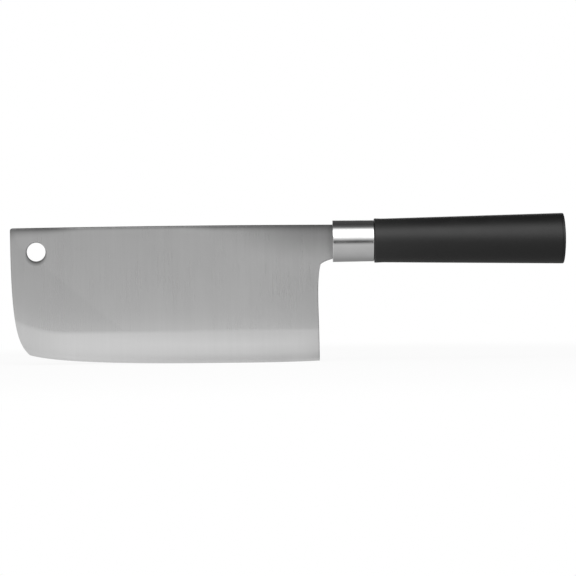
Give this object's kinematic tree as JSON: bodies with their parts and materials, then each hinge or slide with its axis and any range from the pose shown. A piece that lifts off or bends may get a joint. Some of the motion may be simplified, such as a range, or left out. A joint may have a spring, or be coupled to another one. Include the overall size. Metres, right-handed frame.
{
  "type": "cleaver",
  "caption": "Kitchen cleaver with a rectangular bevelled steel blade, a hanging hole, a polished steel ferrule and a round black handle flaring to a domed butt.",
  "frame": {"origin": "under the middle of the whole length, in the blade's mid-plane, on the level of the lowest point of the cutting edge", "axes": "+X from the blade's tip to the handle's butt, parallel to the handle axis; +Y across the blade's thickness; +Z from the cutting edge to the spine"},
  "size_m": [0.3056, 0.0278, 0.0802],
  "materials": {
    "blade_steel": "satin with fine upright grind lines",
    "ferrule_steel": "polished stainless steel",
    "seal_rubber": "matt",
    "core_plastic": "plain moulded",
    "pin_steel": "ground",
    "grip_plastic": "satin black with a fine moulded texture",
    "cap_plastic": "satin black with a fine moulded texture"
  },
  "bodies": {
    "root": {"blade": "blade_steel", "ferrule": "ferrule_steel", "neck_seal": "seal_rubber", "core_half_left": "core_plastic", "core_half_right": "core_plastic", "core_pin_front": "pin_steel", "core_pin_rear": "pin_steel", "grip": "grip_plastic", "end_cap": "cap_plastic"}
  },
  "joints": []
}
